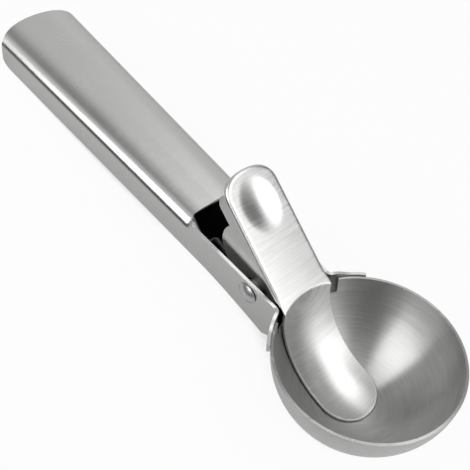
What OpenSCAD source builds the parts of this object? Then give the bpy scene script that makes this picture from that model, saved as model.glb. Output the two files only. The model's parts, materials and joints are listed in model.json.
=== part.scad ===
// Lever ice cream scoop in stainless steel sheet.
// A channel handle carries a half-round bowl. A sprung thumb lever swings on a rivet
// through the channel, and its dished tongue sweeps the ball out of the bowl.
// Shape frame: origin at the middle of the bowl's rim, rim in the XY plane, handle
// towards -X. The finished scoop is then turned until it rests on the bowl and on the
// two rear corners of the handle, with its origin below the middle of its bounding box.

/* [Bowl] */
// Outer diameter of the bowl
bowl_d = 56; // [50:0.5:62]
// Sheet thickness of the bowl
bowl_sheet = 0.8; // [0.6:0.1:1]
// Depth of the notch that the lever passes through
notch_depth = 5.8; // [4.5:0.1:7]
// Room between the lever and each side of the notch
notch_gap = 2.5; // [1:0.1:4]
// Radius of the notch's lower corners
notch_corner_r = 1; // [0.5:0.1:2]

/* [Handle] */
// Length from the bowl's centre to the handle's rear end
handle_reach = 171; // [140:1:200]
// Width across the handle at its rear end
handle_rear_w = 30.6; // [27:0.1:36]
// Sheet thickness of the handle
handle_sheet = 1; // [0.7:0.1:1.2]
// Upward slope of the handle above the rim, in degrees
handle_pitch = 6.5; // [3:0.5:9]
// Depth of the handle's top below the rim, taken at the bowl's centre
handle_drop = 0.8; // [0:0.1:2]
// Outside radius of the long shoulders
shoulder_r = 3; // [2:0.1:4]
// Radius of the arc across the handle's rear end
rear_arc_r = 28; // [20:0.5:40]
// Radius of the side walls' lower rear corners
rear_corner_r = 5; // [3:0.1:5.5]
// Depth of the side walls at the rear
wall_rear_depth = 11.4; // [10:0.1:13]
// Depth of the side walls behind the pivot
wall_mid_depth = 13; // [12:0.1:14.5]
// Depth of the side walls at their lowest point in front of the pivot
wall_front_depth = 16.6; // [15:0.1:18]
// Slope of the side walls' cut front edge, in degrees
wall_front_slope = 34; // [25:1:45]
// Drop of the side walls' open top edge below the handle's top
wall_edge_drop = 0.4; // [0.2:0.1:1]
// Length from the bowl's centre to the slot's rear edge
slot_reach = 67.6; // [65:0.1:72]
// Radius of the slot's rear corners
slot_corner_r = 4; // [2:0.1:6]

/* [Bowl wings] */
// Distance from the middle to the tip of each wing, across the handle
wing_span = 20.8; // [17:0.1:22]
// Height of the wings above the rim
wing_rise = 0.7; // [0.3:0.1:1.2]
// Depth of each wing below the rim at its root
wing_root_depth = 10; // [7:0.1:11]
// Depth of each wing below the rim at its tip
wing_tip_depth = 2.4; // [1.5:0.1:4]

/* [Thumb lever] */
// Width of the lever at its crease and along its tongue
lever_w = 19.4; // [17:0.1:21]
// Width of the thumb pad near its rear end
pad_rear_w = 18.8; // [17:0.1:20.5]
// Length of the thumb pad from the crease
pad_length = 40.7; // [39:0.1:46]
// Length of the rounded rear end of the thumb pad
pad_end_length = 7.5; // [5:0.1:10]
// Slope of the thumb pad above the rim at rest, in degrees
pad_angle = 41.8; // [40:0.1:46]
// Height of the pad's turned-down edge
pad_lip = 1.7; // [1.4:0.1:2.2]
// Sheet thickness of the lever
lever_sheet = 0.8; // [0.6:0.1:1]
// Gap between the tongue and the inside of the bowl
tongue_gap = 0.35; // [0.3:0.05:0.8]
// Reach of the tongue's tip beyond the bowl's centre
tongue_reach = 6; // [2:0.1:10]
// Gap between the lever's edge and each side wall at the front of the slot
lever_side_gap = 0.5; // [0.3:0.1:1.2]

/* [Lever bracket] */
// Sheet thickness of the bracket
bracket_sheet = 0.8; // [0.6:0.1:1]
// Gap between the bracket's sides and the pad's turned-down edge
bracket_gap = 0.1; // [0.05:0.05:0.2]
// Depth of the bracket's rear skirt below the pad's top
skirt_depth = 7.2; // [5:0.1:8]
// Depth of the ears below the pad's top
ear_depth = 17.4; // [17:0.1:18]
// Length from the crease to the rear of the ears
ear_reach = 27.6; // [26:0.1:29]

/* [Pivot] */
// Length from the bowl's centre to the pivot, along the handle's top
pivot_reach = 38.1; // [37:0.1:40]
// Depth of the pivot below the handle's top
pivot_depth = 5; // [4.5:0.1:6]
// Diameter of the rivet's shank
rivet_d = 4; // [3:0.1:4.4]
// Diameter of the rivet's heads
rivet_head_d = 7; // [6:0.1:8]
// Height of the rivet's domed heads
rivet_head_h = 1.4; // [0.8:0.1:2]
// Radial running clearance on the rivet
run_gap = 0.05; // [0.02:0.01:0.1]
// Side play between the ears and what stands beside them
side_play = 0.1; // [0.05:0.05:0.2]
// Outer diameter of the sleeve between the ears
sleeve_d = 6; // [5.5:0.1:6.3]
// Outer diameter of the spacers between the ears and the walls
spacer_d = 7.2; // [6:0.1:8]

/* [Return spring] */
// Diameter of the spring wire
wire_d = 1.2; // [0.8:0.1:1.4]
// Whole turns in each of the two coils
coil_turns = 3; // [2:1:3]
// Gap between the sleeve and the coils
coil_gap = 0.4; // [0.2:0.05:0.6]
// Gap between neighbouring turns of a coil
turn_gap = 0.05; // [0.02:0.01:0.15]
// Gap between the spring and what it bears on
seat_gap = 0.15; // [0.1:0.05:0.3]
// Length from the crease to the spring's bridge under the pad
bridge_reach = 24; // [20:0.1:26]
// Length from the bowl's centre to the spring's cross legs
cross_leg_reach = 58.7; // [58.4:0.1:61]
// Depth of the cross legs below the handle's top
cross_leg_depth = 4.4; // [3:0.1:6]
// Length of the lugs that hold the cross legs, along the walls
lug_length = 4; // [3:0.1:6]
// Height of the lugs
lug_height = 1.4; // [1:0.1:2]
// Width of the lugs, from the wall inwards
lug_width = 1.8; // [1.2:0.1:2]

/* [Hidden] */
$fn = 96;
bowl_r = bowl_d / 2;
bowl_inner_r = bowl_r - bowl_sheet;
notch_half = lever_w / 2 + notch_gap;
handle_front_half = lever_w / 2 + lever_side_gap + handle_sheet;
handle_rear_half = handle_rear_w / 2;
flare = atan((handle_rear_half - handle_front_half) / (handle_reach - bowl_r));
wall_rear = handle_reach - rear_arc_r + sqrt(pow(rear_arc_r, 2) - pow(handle_rear_half, 2));
// Centre of the walls' lower rear corners, along and above the handle's top
rear_corner = [rear_corner_r - handle_sheet - wall_rear, rear_corner_r - wall_rear_depth];
tongue_outer_r = bowl_inner_r - tongue_gap;
tongue_inner_r = tongue_outer_r - lever_sheet;
// The pad's top meets the tongue's inner face at this height above the rim
crease_rise = 2;
crease_x = -sqrt(pow(tongue_inner_r, 2) - pow(crease_rise, 2));
// The turned corner of the bracket stands inside the pad's turned-down edge
ear_outer = pad_rear_w / 2 - lever_sheet - bracket_gap;
ear_inner = ear_outer - bracket_sheet;
shank_r = rivet_d / 2;
hole_r = shank_r + run_gap;
coil_r = sleeve_d / 2 + coil_gap + wire_d / 2;
coil_pitch = wire_d + turn_gap;
big = 3 * handle_reach;
skin = 0.01;
slot_walls_end = slot_reach - slot_corner_r;
deepening_start = slot_reach - 10;
deepening_end = bowl_r + 1.3;
deepening_power = 1.5;
pad_end_power = 2.4;
arc_steps = 12;

// Half the handle's width at a distance u behind the bowl's centre
function half_width(u) = handle_front_half + (u - bowl_r) * tan(flare);
// Depth of the side walls below the handle's top at a distance u
function wall_depth(u) = u > deepening_start
    ? wall_mid_depth + (wall_rear_depth - wall_mid_depth)
        * (u - deepening_start) / (-rear_corner[0] - deepening_start)
    : wall_mid_depth + (wall_front_depth - wall_mid_depth)
        * pow((deepening_start - u) / (deepening_start - deepening_end), deepening_power);
// Points of an arc about c, from angle a to angle b
function arc(c, r, a, b) =
    [for (i = [0 : arc_steps]) let (t = a + (b - a) * i / arc_steps) c + r * [cos(t), sin(t)]];
// A point [along X, along Z] of the handle's frame in the shape frame
function from_handle(p) = [p[0] * cos(handle_pitch) + p[1] * sin(handle_pitch),
                           -p[0] * sin(handle_pitch) + p[1] * cos(handle_pitch) - handle_drop];
// A point [behind the crease, below the pad's top] of the pad in the shape frame
function from_pad(p) = [crease_x - p[0] * cos(pad_angle) - p[1] * sin(pad_angle),
                        crease_rise + p[0] * sin(pad_angle) - p[1] * cos(pad_angle)];
// A point [along X, along Z] of the shape frame as [behind the crease, below the pad's top]
function to_pad(p) = let (dx = p[0] - crease_x, dz = p[1] - crease_rise)
    [-dx * cos(pad_angle) + dz * sin(pad_angle), -dx * sin(pad_angle) - dz * cos(pad_angle)];

pivot = from_handle([-pivot_reach, -pivot_depth]);
pivot_on_pad = to_pad(pivot);

// The scoop rests where one line touches the bowl and the walls' lower rear corners
rest_corner = from_handle(rear_corner);
rest_tilt = atan2(rest_corner[1], -rest_corner[0])
    + asin((bowl_r - rear_corner_r) / norm(rest_corner));
rear_tip = from_handle([-handle_reach, 0]);
rear_tip_x = rear_tip[0] * cos(rest_tilt) - rear_tip[1] * sin(rest_tilt);

module resting() {
    translate([-(rear_tip_x + bowl_r) / 2, 0, bowl_r]) rotate([0, -rest_tilt, 0]) children();
}

module in_handle() { translate([0, 0, -handle_drop]) rotate([0, handle_pitch, 0]) children(); }

module on_pad() { translate([crease_x, 0, crease_rise]) rotate([0, pad_angle, 0]) children(); }

// Extrudes an outline drawn in X and Z across the middle, over a whole width w
module across(w) { rotate([90, 0, 0]) linear_extrude(w, center = true) children(); }

// Extrudes an outline drawn in Y and Z along X, from x0 to x1
module along(x0, x1) {
    rotate([90, 0, 90]) translate([0, 0, x0]) linear_extrude(x1 - x0) children();
}

module both_sides() { children(); mirror([0, 1, 0]) children(); }

// A cylinder along Y through the pivot, from y0 to y1
module on_pivot(r, y0, y1) {
    translate([pivot[0], y0, pivot[1]]) rotate([-90, 0, 0]) cylinder(r = r, h = y1 - y0);
}

// --- handle ---------------------------------------------------------------------------

// Places a shape drawn with the wall's outer face on Y = 0 along the flared side
module along_wall() {
    translate([-bowl_r, handle_front_half, 0]) rotate([0, 0, -flare]) children();
}

// Section of one half of the channel: web, rounded shoulder and side wall
module channel_section() {
    depth = 2 * wall_front_depth;
    centre = [-shoulder_r, -shoulder_r];
    translate([-handle_rear_w, -handle_sheet]) square([handle_rear_w - shoulder_r, handle_sheet]);
    translate([-handle_sheet, -depth]) square([handle_sheet, depth - shoulder_r]);
    intersection() {
        translate(centre) difference() {
            circle(shoulder_r);
            circle(shoulder_r - handle_sheet);
        }
        translate(centre) square(shoulder_r);
    }
}

// Plan of the handle, with its arched rear end
module handle_plan() {
    reach_angle = asin(handle_rear_half / rear_arc_r);
    rear = arc([rear_arc_r - handle_reach, 0], rear_arc_r, 180 - reach_angle, 180 + reach_angle);
    polygon(concat([[0, -handle_rear_w], [0, handle_rear_w], [-wall_rear, handle_rear_w]], rear,
                   [[-wall_rear, -handle_rear_w]]));
}

// Side outline of the channel behind the slot's corners
module rear_outline() {
    corner = arc(rear_corner, rear_corner_r, 270, 180);
    top_step = [-handle_reach, 0] - [handle_sheet, shoulder_r];
    polygon(concat([[-slot_walls_end, handle_sheet], [-slot_walls_end, -wall_depth(slot_walls_end)]],
                   corner, [[rear_corner[0] - rear_corner_r, top_step[1]], top_step,
                            [top_step[0], handle_sheet]]));
}

// Side outline of the walls beside the slot, whose lower edge curves down to the bowl
module front_outline() {
    front_run = (wall_front_depth - wall_edge_drop) / tan(wall_front_slope);
    steps = 6;
    run = deepening_start - deepening_end;
    polygon(concat([[-slot_walls_end, -wall_edge_drop], [front_run - deepening_end, -wall_edge_drop]],
                   [for (i = [0 : steps]) let (u = deepening_end + run * i / steps)
                       [-u, -wall_depth(u)]],
                   [[-slot_walls_end, -wall_depth(slot_walls_end)]]));
}

// Half of the slot's plan: straight rear edge, then a round corner into the wall
module half_slot_plan() {
    edge = half_width(slot_reach);
    centre = [slot_corner_r - slot_reach, edge - slot_corner_r];
    polygon(concat([[0, 0], [-slot_reach, 0]], arc(centre, slot_corner_r, 180, 90),
                   [[0, edge]]));
}

module channel_rear() {
    difference() {
        intersection() {
            both_sides() intersection() {
                along_wall() along(-2 * handle_reach, bowl_r) channel_section();
                translate([-big / 2, 0, -big / 2]) cube([big, big, big]);
            }
            across(2 * handle_rear_w) rear_outline();
            translate([0, 0, -big / 2]) linear_extrude(big) handle_plan();
        }
        translate([0, 0, -shoulder_r]) linear_extrude(2 * shoulder_r) both_sides()
            half_slot_plan();
    }
}

module slot_walls() {
    both_sides() intersection() {
        along_wall() translate([-big, -handle_sheet, -big / 2]) cube([2 * big, handle_sheet, big]);
        across(2 * handle_rear_w) front_outline();
    }
}

// Lugs pressed inwards from the walls, under the cross legs of the spring
module spring_lugs() {
    top = -cross_leg_depth - wire_d / 2 - seat_gap;
    both_sides() intersection() {
        translate([-cross_leg_reach - lug_length / 2, 0, top - lug_height])
            cube([lug_length, handle_rear_w, lug_height]);
        along_wall() translate([-big, -handle_sheet - lug_width, -big / 2])
            cube([2 * big, handle_sheet / 2 + lug_width, big]);
    }
}

// Wings of the walls, laid round the outside of the bowl and welded to it
module wings() {
    root = handle_front_half - handle_sheet / 2;
    both_sides() intersection() {
        difference() {
            sphere(bowl_r + handle_sheet);
            sphere(bowl_r);
        }
        along(-bowl_d, 0) polygon([[root, wing_rise], [wing_span, wing_rise],
                                   [wing_span, -wing_tip_depth], [root, -wing_root_depth]]);
    }
}

module handle() {
    color("silver") resting() difference() {
        union() {
            difference() {
                in_handle() union() {
                    channel_rear();
                    slot_walls();
                    spring_lugs();
                }
                sphere(bowl_r);
            }
            wings();
        }
        on_pivot(hole_r, -handle_rear_w, handle_rear_w);
    }
}

// --- bowl -----------------------------------------------------------------------------

module notch_outline() {
    corner = [notch_half - notch_corner_r, notch_corner_r - notch_depth];
    right = arc(corner, notch_corner_r, 270, 360);
    left = arc([-corner[0], corner[1]], notch_corner_r, 180, 270);
    polygon(concat([[-notch_half, 1]], left, right, [[notch_half, 1]]));
}

module bowl() {
    color("lightgray") resting() difference() {
        sphere(bowl_r);
        sphere(bowl_inner_r);
        translate([-bowl_d, -bowl_d, 0]) cube([2 * bowl_d, 2 * bowl_d, bowl_d]);
        along(-bowl_d, 0) notch_outline();
    }
}

// --- thumb lever ----------------------------------------------------------------------

// Plan of the thumb pad on its own plane, drawn in by an inset all round
module pad_plan(inset, front) {
    straight = pad_length - pad_end_length;
    rear_half = pad_rear_w / 2 - inset;
    end_length = pad_end_length - inset;
    function rounded(a) = [-straight - end_length * pow(abs(cos(a)), 2 / pad_end_power),
                           rear_half * sign(sin(a)) * pow(abs(sin(a)), 2 / pad_end_power)];
    steps = 2 * arc_steps;
    polygon(concat([[-front, -lever_w / 2 + inset]], [[-front, lever_w / 2 - inset]],
                   [for (i = [0 : steps]) rounded(90 - 180 * i / steps)]));
}

module pad_plate() {
    front = -2 * lever_sheet;
    difference() {
        on_pad() difference() {
            translate([0, 0, -pad_lip]) linear_extrude(pad_lip) pad_plan(0, front);
            translate([0, 0, -pad_lip - skin]) linear_extrude(pad_lip - lever_sheet + skin)
                pad_plan(lever_sheet, lever_sheet);
        }
        sphere(tongue_inner_r);
    }
}

// Plan of the tongue, with a half-round tip
module tongue_plan() {
    centre = tongue_reach - lever_w / 2;
    translate([-bowl_d, -lever_w / 2]) square([bowl_d + centre, lever_w]);
    translate([centre, 0]) circle(d = lever_w);
}

module tongue() {
    difference() {
        intersection() {
            difference() {
                sphere(tongue_outer_r);
                sphere(tongue_inner_r);
            }
            translate([0, 0, -bowl_d]) linear_extrude(bowl_d + crease_rise) tongue_plan();
        }
        on_pad() translate([-bowl_d, -bowl_d, 0]) cube([bowl_d + lever_w / 2, 2 * bowl_d, bowl_d]);
    }
}

module lever() {
    color("gainsboro") resting() union() {
        pad_plate();
        tongue();
    }
}

// --- lever bracket --------------------------------------------------------------------

// Side outline of an ear, as [behind the crease, below the pad's top]
module ear_outline() {
    top = lever_sheet;
    boss_r = ear_depth - pivot_on_pad[1];
    heel_r = ear_depth - skirt_depth;
    heel = [ear_reach - heel_r, skirt_depth];
    skirt_end = pad_length - pad_end_length / 2;
    front = 2 * lever_sheet;
    polygon(concat([[-front, -top]],
                   [for (p = arc(pivot_on_pad, boss_r, 200, 90)) [-p[0], -p[1]]],
                   [for (p = arc(heel, heel_r, 90, 0)) [-p[0], -p[1]]],
                   [for (p = arc([skirt_end - skirt_depth / 2, skirt_depth / 2],
                                 skirt_depth / 2, 90, 0)) [-p[0], -p[1]]],
                   [[-skirt_end, -top]]));
}

module lever_bracket() {
    inset = lever_sheet + bracket_gap;
    front = 2 * lever_sheet;
    color("darkgray") resting() difference() {
        on_pad() union() {
            intersection() {
                translate([0, 0, -lever_sheet - bracket_sheet]) linear_extrude(bracket_sheet)
                    pad_plan(inset, front);
                cube([big, 2 * ear_outer, big], center = true);
            }
            intersection() {
                both_sides() translate([0, ear_inner + bracket_sheet / 2, 0])
                    across(bracket_sheet) ear_outline();
                translate([0, 0, -2 * ear_depth]) linear_extrude(2 * ear_depth)
                    pad_plan(inset, -front);
            }
        }
        on_pivot(hole_r, -lever_w, lever_w);
    }
}

// --- pivot ----------------------------------------------------------------------------

// The wall's outer and inner faces beside a round piece of diameter d on the pivot
function wall_outside(d) = half_width(pivot_reach + d / 2);
function wall_inside(d) = half_width(pivot_reach - d / 2) - handle_sheet;

module rivet_head() {
    base_r = rivet_head_d / 2;
    dome_r = (pow(base_r, 2) + pow(rivet_head_h, 2)) / (2 * rivet_head_h);
    base = wall_outside(rivet_head_d);
    intersection() {
        on_pivot(base_r, base, base + rivet_head_h);
        translate([pivot[0], base + rivet_head_h - dome_r, pivot[1]]) sphere(dome_r);
    }
}

module pivot_rivet() {
    base = wall_outside(rivet_head_d);
    color("silver") resting() union() {
        on_pivot(shank_r, -base - skin, base + skin);
        both_sides() rivet_head();
    }
}

module pivot_sleeve() {
    end = ear_inner - side_play;
    color("gray") resting() difference() {
        on_pivot(sleeve_d / 2, -end, end);
        on_pivot(hole_r, -lever_w, lever_w);
    }
}

module side_spacers() {
    color("gray") resting() both_sides() difference() {
        on_pivot(spacer_d / 2, ear_outer + side_play, wall_inside(spacer_d) - run_gap);
        on_pivot(hole_r, 0, lever_w);
    }
}

// --- return spring --------------------------------------------------------------------

// Where the bridge presses up under the bracket, and where the cross legs press down
bridge_at = from_pad([bridge_reach, lever_sheet + bracket_sheet + seat_gap + wire_d / 2]);
cross_at = from_handle([-cross_leg_reach, -cross_leg_depth]);
cross_end = half_width(cross_leg_reach) - handle_sheet - wire_d;
coil_end = ear_inner - wire_d;
wire_steps = 14;
wire_sides = 8;

// Angle at which a line from p touches the coil, on the side given by sign s
function touch_angle(p, s) = let (v = p - pivot)
    atan2(v[1], v[0]) + s * acos(coil_r / norm(v));

// Centre line of one half of the wire, from the end of its cross leg to the bridge
function half_wire() =
    let (enter = touch_angle(cross_at, 1),
         leave = touch_angle(bridge_at, -1),
         whole = 360 * coil_turns + ((leave - enter) % 360 + 360) % 360,
         count = round(whole / 360 * wire_steps),
         width = coil_pitch * whole / 360)
    concat([[cross_at[0], cross_end, cross_at[1]], [cross_at[0], coil_end + wire_d, cross_at[1]]],
           [[cross_at[0] + wire_d, coil_end, cross_at[1]]],
           [for (i = [0 : count]) let (a = enter + whole * i / count)
               [pivot[0] + coil_r * cos(a), coil_end - width * i / count,
                pivot[1] + coil_r * sin(a)]],
           [[bridge_at[0], coil_end - width, bridge_at[1]]]);

function mirrored(path) = [for (i = [len(path) - 1 : -1 : 0])
    [path[i][0], -path[i][1], path[i][2]]];

// One ring of the wire at point i of a path, square to the path there
function ring(path, i) =
    let (last = len(path) - 1,
         a = path[max(i - 1, 0)], b = path[min(i + 1, last)],
         d = (b - a) / norm(b - a),
         ref = abs(d[1]) > 0.8 ? [0, 0, 1] : [0, 1, 0],
         u = cross(d, ref) / norm(cross(d, ref)), v = cross(d, u))
    [for (k = [0 : wire_sides - 1]) let (t = 360 * k / wire_sides)
        path[i] + wire_d / 2 * (u * cos(t) + v * sin(t))];

module swept_wire(path) {
    n = len(path);
    points = [for (i = [0 : n - 1]) each ring(path, i)];
    sides = [for (i = [0 : n - 2], k = [0 : wire_sides - 1])
        let (l = (k + 1) % wire_sides, p = i * wire_sides, q = p + wire_sides)
        [p + k, p + l, q + l, q + k]];
    start = [for (k = [0 : wire_sides - 1]) wire_sides - 1 - k];
    finish = [for (k = [0 : wire_sides - 1]) (n - 1) * wire_sides + k];
    polyhedron(points, concat([start], sides, [finish]), convexity = 10);
}

module return_spring() {
    half = half_wire();
    color("dimgray") resting() swept_wire(concat(half, mirrored(half)));
}

handle();
bowl();
lever();
lever_bracket();
pivot_rivet();
pivot_sleeve();
side_spacers();
return_spring();
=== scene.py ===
"""Lever ice cream scoop in stainless steel: the visible surfaces over its solid frame.

Lengths are in metres. Each shape is worked out in the rim's frame, whose origin is the middle
of the bowl's rim, with the rim in the XY plane and the handle towards -X. rim_to_part() then
tips it to the pose in which the scoop rests on its bowl and on the handle's rear corners.
"""

import json
import math

import bmesh
import bpy
import numpy as np
from bpy.props import FloatProperty, IntProperty, PointerProperty, StringProperty
from mathutils import Matrix, Vector


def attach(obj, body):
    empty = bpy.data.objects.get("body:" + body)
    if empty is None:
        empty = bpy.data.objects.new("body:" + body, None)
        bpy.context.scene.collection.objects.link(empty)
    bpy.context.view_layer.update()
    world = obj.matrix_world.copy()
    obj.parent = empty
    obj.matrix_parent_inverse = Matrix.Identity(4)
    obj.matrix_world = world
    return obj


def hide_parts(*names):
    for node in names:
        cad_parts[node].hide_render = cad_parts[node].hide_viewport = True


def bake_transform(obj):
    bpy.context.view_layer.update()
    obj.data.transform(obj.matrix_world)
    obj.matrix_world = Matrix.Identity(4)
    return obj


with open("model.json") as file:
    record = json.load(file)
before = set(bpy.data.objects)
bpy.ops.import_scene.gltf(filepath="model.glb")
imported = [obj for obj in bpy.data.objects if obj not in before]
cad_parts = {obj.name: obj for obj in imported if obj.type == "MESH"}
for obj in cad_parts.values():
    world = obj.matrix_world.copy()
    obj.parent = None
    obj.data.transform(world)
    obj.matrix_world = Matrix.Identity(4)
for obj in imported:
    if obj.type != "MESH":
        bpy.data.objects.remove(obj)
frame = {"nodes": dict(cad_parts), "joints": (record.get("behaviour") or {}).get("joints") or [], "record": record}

bl_info = {
    "name": "Lever Ice Cream Scoop",
    "version": (1, 0, 0),
    "blender": (4, 5, 0),
    "location": "3D View > Sidebar > Scoop",
    "description": "Builds the sheet steel surfaces, finishes and studio of a lever scoop",
    "category": "Add Mesh",
}

JOINT = frame["joints"][0]
REST_SLOPE = frame["record"]["mounts"][0]["axis"]
# A point times this is its mirror image in the middle plane
OTHER_SIDE = np.array([1.0, -1.0, 1.0])
WHITE = (1, 1, 1, 1)


def length(name, description, default):
    """A length property in metres."""
    return FloatProperty(name=name, description=description, default=default, min=0.0,
                         precision=5, unit="LENGTH")


def angle(name, description, degrees):
    """An angle property, held in radians."""
    return FloatProperty(name=name, description=description, default=math.radians(degrees),
                         subtype="ANGLE", unit="ROTATION")


def number(name, description, default, highest=1.0):
    """A plain number property."""
    return FloatProperty(name=name, description=description, default=default, min=0.0,
                         max=highest)


def colour(name, description, default):
    """A colour property, held as sRGB hex."""
    return StringProperty(name=name, description=description + ", sRGB hex", default=default)


# --- sizes and finishes ---


class HandleSizes(bpy.types.PropertyGroup):
    reach: length("Reach", "From the bowl's centre to the rear end", 0.17092)
    front_half: length("Front half width", "Half width over the walls at the bowl", 0.0112)
    rear_half: length("Rear half width", "Half width over the walls at the rear end", 0.0153)
    sheet: length("Sheet", "Sheet thickness", 0.001)
    pitch: angle("Pitch", "Upward slope above the rim", 6.5)
    drop: length("Drop", "Depth of the top below the rim at the bowl's centre", 0.0008)
    shoulder: length("Shoulder", "Depth at which the walls turn into the shoulders", 0.0039)
    crown_run: length("Crown run", "Length of sheet over which a shoulder turns level", 0.0157)
    rear_arc: length("Rear arc radius", "Radius of the arc across the rear end", 0.028)
    rear_corner: length("Rear corner radius", "Radius of the walls' lower rear corners", 0.005)
    rear_depth: length("Rear depth", "Depth of the walls at the rear", 0.0114)
    middle_depth: length("Middle depth", "Depth of the walls behind the pivot", 0.013)
    front_depth: length("Front depth", "Depth of the walls at their lowest point", 0.0166)
    deepening: length("Deepening", "From the slot's rear edge to where the walls deepen", 0.01)
    lowest: length("Lowest point", "From the bowl's edge to the walls' lowest point", 0.0013)
    front_slope: angle("Front slope", "Slope of the walls' cut front edge", 34.0)
    edge_drop: length("Edge drop", "Drop of the walls' open top edge below the top", 0.0004)
    slot_reach: length("Slot reach", "From the bowl's centre to the slot's rear edge", 0.0676)
    slot_corner: length("Slot corner radius", "Radius of the slot's rear corners", 0.004)
    wing_span: length("Wing span", "From the middle to the tip of each wing", 0.0208)
    wing_rise: length("Wing rise", "Height of the wing tips above the rim", 0.0007)
    wing_tip_depth: length("Wing tip depth", "Depth of the wings at their tip", 0.0024)
    wing_bend: length("Wing bend radius", "Radius of the bend between wall and wing", 0.0012)
    wing_gap: length("Wing gap", "Gap between the wings and the bowl", 0.0001)
    lug_reach: length("Lug reach", "From the bowl's centre to the spring lugs", 0.0587)
    lug_depth: length("Lug depth", "Depth of the lugs' top below the handle's top", 0.00515)


class BowlSizes(bpy.types.PropertyGroup):
    radius: length("Radius", "Outer radius of the bowl", 0.028)
    sheet: length("Sheet", "Sheet thickness", 0.0008)
    notch_half: length("Notch half width", "Half width of the notch for the lever", 0.0131)
    notch_depth: length("Notch depth", "Depth of the notch below the rim", 0.0058)
    notch_corner: length("Notch corner radius", "Radius of the notch's lower corners", 0.001)


class LeverSizes(bpy.types.PropertyGroup):
    half: length("Half width", "Half width at the crease and along the tongue", 0.0097)
    pad_rear_half: length("Pad rear half width", "Half width near the pad's rear end", 0.0094)
    pad_length: length("Pad length", "From the crease to the pad's rear end", 0.0407)
    pad_end: length("Pad end length", "Length of the pad's rounded rear end", 0.0075)
    pad_angle: angle("Pad angle", "Slope of the pad above the rim", 41.8)
    lip: length("Lip", "Height of the pad's turned-down edge", 0.0017)
    lip_radius: length("Lip radius", "Outside radius of the turned-down edge", 0.001)
    sheet: length("Sheet", "Sheet thickness", 0.0008)
    crease_rise: length("Crease rise", "Height of the crease above the rim", 0.002)
    crease_radius: length("Crease radius", "Outside radius of the bend at the crease", 0.0012)
    tongue_radius: length("Tongue radius", "Radius of the tongue's inner face", 0.02605)
    tongue_reach: length("Tongue reach", "Reach of the tip beyond the bowl's centre", 0.006)
    dish_depth: length("Dish depth", "Depth of the thumb dish in the pad", 0.00075)
    dish_reach: length("Dish reach", "From the crease to the middle of the dish", 0.0295)
    dish_long: length("Dish half length", "Half length of the dish along the pad", 0.0092)
    dish_wide: length("Dish half width", "Half width of the dish across the pad", 0.0068)


class PivotSizes(bpy.types.PropertyGroup):
    reach: length("Reach", "From the bowl's centre to the pivot, along the handle", 0.0381)
    depth: length("Depth", "Depth of the pivot below the handle's top", 0.005)
    shank: length("Shank radius", "Radius of the rivet's shank", 0.002)
    head: length("Head radius", "Radius of the rivet's heads", 0.0035)
    head_height: length("Head height", "Height of the rivet's domed heads", 0.0014)


class SpringSizes(bpy.types.PropertyGroup):
    wire: length("Wire", "Diameter of the wire", 0.0012)
    coil: length("Coil radius", "Radius of the coils at the wire's middle", 0.004)
    pitch: length("Coil pitch", "Distance from turn to turn", 0.00125)
    turns: IntProperty(name="Turns", description="Whole turns in each coil", default=3)
    coil_end: length("Coil end", "From the middle to the outer turn", 0.0065)
    leg_reach: length("Leg reach", "From the bowl's centre to the cross legs", 0.0587)
    leg_depth: length("Leg depth", "Depth of the cross legs below the handle's top", 0.0044)
    leg_end: length("Leg end", "From the middle to the end of each cross leg", 0.0093)
    bridge_reach: length("Bridge reach", "From the crease to the bridge under the pad", 0.024)
    bridge_depth: length("Bridge depth", "Depth of the bridge below the pad's top", 0.00235)


class ScoopFinishes(bpy.types.PropertyGroup):
    steel: colour("Steel", "Stainless steel", "#C9C9C8")
    bowl: colour("Bowl", "Spun steel of the bowl", "#ADADAC")
    lever: colour("Lever", "Brushed steel of the lever", "#D6D6D5")
    lining: colour("Lining", "Inner face of the channel", "#8A8A89")
    # Painted shade: the sleeve and spacers are coloured dark for the shade between the channel's walls
    inside: colour("Inside", "Sleeve and spacers inside the channel", "#5C5C5B")
    # Painted shade: the spring wire is coloured dark for the shade inside the channel
    wire: colour("Wire", "Spring wire", "#444443")
    floor: colour("Floor", "Studio floor", "#CCCCCC")
    satin: number("Satin roughness", "Roughness of the handle and the bowl's outside", 0.24)
    spun: number("Spun roughness", "Roughness of the bowl's inside", 0.34)
    brushed: number("Brushed roughness", "Roughness of the brushed lever", 0.34)


class StudioSettings(bpy.types.PropertyGroup):
    bowl_lamp: number("Bowl lamp", "Radiance of the soft box beyond the bowl", 2.1, 20.0)
    side_lamp: number("Side lamp", "Radiance of the soft box on the near side", 4.4, 20.0)
    top_lamp: number("Top lamp", "Radiance of the soft box overhead", 1.9, 20.0)
    sky: number("Sky", "Level of the room that the metal mirrors", 0.75, 5.0)
    room: number("Room", "Plain level of the room's light", 0.2, 5.0)


# --- surfaces ---


def joined(*columns):
    """Coordinates joined into one array of points."""
    return np.stack(np.broadcast_arrays(*columns), axis=-1)


def turned(points, slope):
    """Turns points about Y so that +X leans down by slope, an angle in radians."""
    c, s = math.cos(slope), math.sin(slope)
    x, y, z = np.moveaxis(points, -1, 0)
    return joined(x * c + z * s, y, -x * s + z * c)


def handle_to_rim(points, handle):
    """Points of the handle's frame, X along its top and Z square to it, in the rim's frame."""
    return turned(points, handle.pitch) - np.array([0.0, 0.0, handle.drop])


def pad_to_rim(points, lever):
    """Points of the pad's frame, X from the crease to the rear and Z above its top."""
    c, s = math.cos(lever.pad_angle), math.sin(lever.pad_angle)
    x, y, z = np.moveaxis(points, -1, 0)
    crease = -math.sqrt(lever.tongue_radius**2 - lever.crease_rise**2)
    return joined(crease - x * c + z * s, y, lever.crease_rise + x * s + z * c)


def pivot_in_rim(scene):
    """The pivot's place in the rim's frame."""
    pivot = np.array([-scene.scoop_pivot.reach, 0.0, -scene.scoop_pivot.depth])
    return handle_to_rim(pivot, scene.scoop_handle)


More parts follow.
